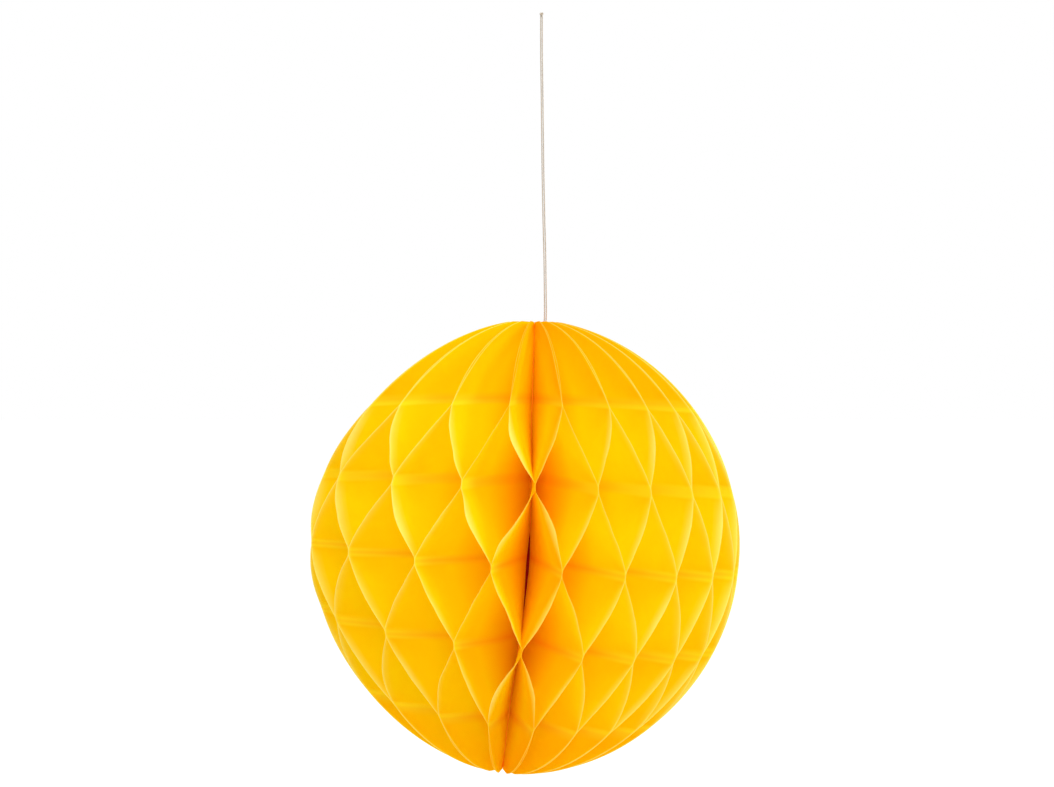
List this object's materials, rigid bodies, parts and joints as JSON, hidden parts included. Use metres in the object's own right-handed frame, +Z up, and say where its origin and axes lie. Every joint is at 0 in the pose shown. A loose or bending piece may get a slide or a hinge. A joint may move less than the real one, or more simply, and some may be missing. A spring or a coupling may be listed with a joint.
{
  "type": "hanging tissue paper honeycomb ball",
  "caption": "Round honeycomb ball of glued yellow tissue paper sheets, opened round a bound spine and hung on a doubled off-white string.",
  "frame": {"origin": "the point that the string hangs from, at the top of its knot", "axes": "+Z up, away from the ball; the seam where the fan closes faces -Y, as in the picture; +X is to the viewer's right"},
  "size_m": [0.0935, 0.0938, 0.1673],
  "materials": {
    "tissue_paper": "thin matte yellow tissue that lets some light through",
    "cotton_string": "twisted off-white cotton",
    "binding_cord": "twisted cotton dyed dark orange"
  },
  "bodies": {
    "root": {"sheet_01": "tissue_paper", "sheet_02": "tissue_paper", "sheet_03": "tissue_paper", "sheet_04": "tissue_paper", "sheet_05": "tissue_paper", "sheet_06": "tissue_paper", "sheet_07": "tissue_paper", "sheet_08": "tissue_paper", "sheet_09": "tissue_paper", "sheet_10": "tissue_paper", "sheet_11": "tissue_paper", "sheet_12": "tissue_paper", "sheet_13": "tissue_paper", "sheet_14": "tissue_paper", "sheet_15": "tissue_paper", "sheet_16": "tissue_paper", "sheet_17": "tissue_paper", "sheet_18": "tissue_paper", "sheet_19": "tissue_paper", "sheet_20": "tissue_paper", "sheet_21": "tissue_paper", "sheet_22": "tissue_paper", "sheet_23": "tissue_paper", "sheet_24": "tissue_paper", "sheet_25": "tissue_paper", "sheet_26": "tissue_paper", "sheet_27": "tissue_paper", "sheet_28": "tissue_paper", "sheet_29": "tissue_paper", "sheet_30": "tissue_paper", "sheet_31": "tissue_paper", "sheet_32": "tissue_paper", "sheet_33": "tissue_paper", "sheet_34": "tissue_paper", "sheet_35": "tissue_paper", "sheet_36": "tissue_paper", "sheet_37": "tissue_paper", "sheet_38": "tissue_paper", "sheet_39": "tissue_paper", "sheet_40": "tissue_paper", "sheet_41": "tissue_paper", "core_cord": "binding_cord", "string_left": "cotton_string", "string_right": "cotton_string", "hanging_knot": "cotton_string"}
  },
  "joints": []
}
